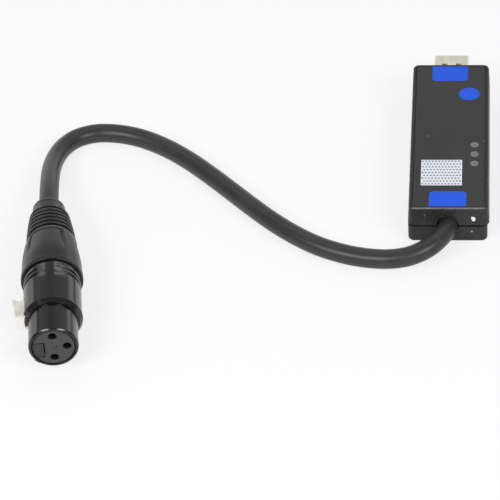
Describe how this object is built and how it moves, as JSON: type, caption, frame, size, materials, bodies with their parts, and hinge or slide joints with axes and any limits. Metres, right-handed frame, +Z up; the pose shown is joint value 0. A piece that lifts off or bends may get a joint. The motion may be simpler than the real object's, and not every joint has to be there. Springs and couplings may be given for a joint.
{
  "type": "usb lighting controller",
  "caption": "Flat plastic dongle with a type A plug at one end and a short round lead to a latching cable connector at the other.",
  "frame": {"origin": "on the surface the dongle rests on, under the middle of the dongle with its plug", "axes": "+Y out of the plug, +Z up, +X to the right when looking along +Y"},
  "size_m": [0.1518, 0.1565, 0.0202],
  "materials": {
    "black_plastic": "moulded black plastic with a fine satin grain",
    "label_film": "printed satin film",
    "frosted_window": "frosted grey window",
    "plated_steel": "nickel-plated sheet with a warm tone",
    "white_plastic": "moulded white plastic",
    "gold_plate": "gold-plated contact metal",
    "board_laminate": "green solder mask",
    "chip_body": "moulded chip body",
    "tinned_metal": "tinned metal can",
    "led_body": "clear lamp body",
    "ceramic_chip": "ceramic chip part",
    "black_nylon": "nylon tie",
    "cable_jacket": "soft satin black jacket",
    "wire_1": "grey core insulation",
    "wire_2": "red core insulation",
    "wire_3": "blue core insulation",
    "black_metal": "glossy black plated metal",
    "insert_plastic": "moulded dark grey insert",
    "latch_metal": "nickel-plated latch with a warm tone",
    "spring_steel": "spring wire",
    "nut_plastic": "satin black moulded nut",
    "soft_black": "soft black moulded bend relief"
  },
  "bodies": {
    "root": {"upper_cover": "black_plastic", "lower_base": "black_plastic", "face_panel": "label_film", "light_window_1": "frosted_window", "status_led_1": "led_body", "light_window_2": "frosted_window", "status_led_2": "led_body", "light_window_3": "frosted_window", "status_led_3": "led_body", "usb_shell": "plated_steel", "usb_insulator": "white_plastic", "usb_contact_1": "gold_plate", "usb_contact_2": "gold_plate", "usb_contact_3": "gold_plate", "usb_contact_4": "gold_plate", "circuit_board": "board_laminate", "controller_chip": "chip_body", "line_driver_chip": "chip_body", "voltage_regulator": "chip_body", "clock_crystal": "tinned_metal", "radio_module": "board_laminate", "radio_shield": "tinned_metal", "capacitor_1": "ceramic_chip", "capacitor_2": "ceramic_chip", "capacitor_3": "ceramic_chip", "capacitor_4": "ceramic_chip", "cable_tie": "black_nylon", "connection_cable": "cable_jacket", "lead_wire_1": "wire_1", "lead_wire_2": "wire_2", "lead_wire_3": "wire_3", "connector_shell": "black_metal", "contact_insert": "insert_plastic", "contact_socket_1": "gold_plate", "contact_socket_2": "gold_plate", "contact_socket_3": "gold_plate", "latch_pin": "spring_steel", "latch_spring": "spring_steel", "cable_chuck": "white_plastic", "boot_nut": "nut_plastic", "bend_relief": "soft_black", "contact_wire_1": "wire_1", "contact_wire_2": "wire_2", "contact_wire_3": "wire_3"},
    "latch": {"latch_lever": "latch_metal"}
  },
  "joints": [
    {"name": "latch_press", "type": "hinge", "parent": "root", "child": "latch", "pos_m": [-0.12911, -0.10616, 0.0101], "axis": [0, 0, -1], "range_deg": [0, 7], "stiffness_Nm_per_rad": 0.12, "springref_deg": -11.46, "deforming": ["latch_spring"]}
  ]
}
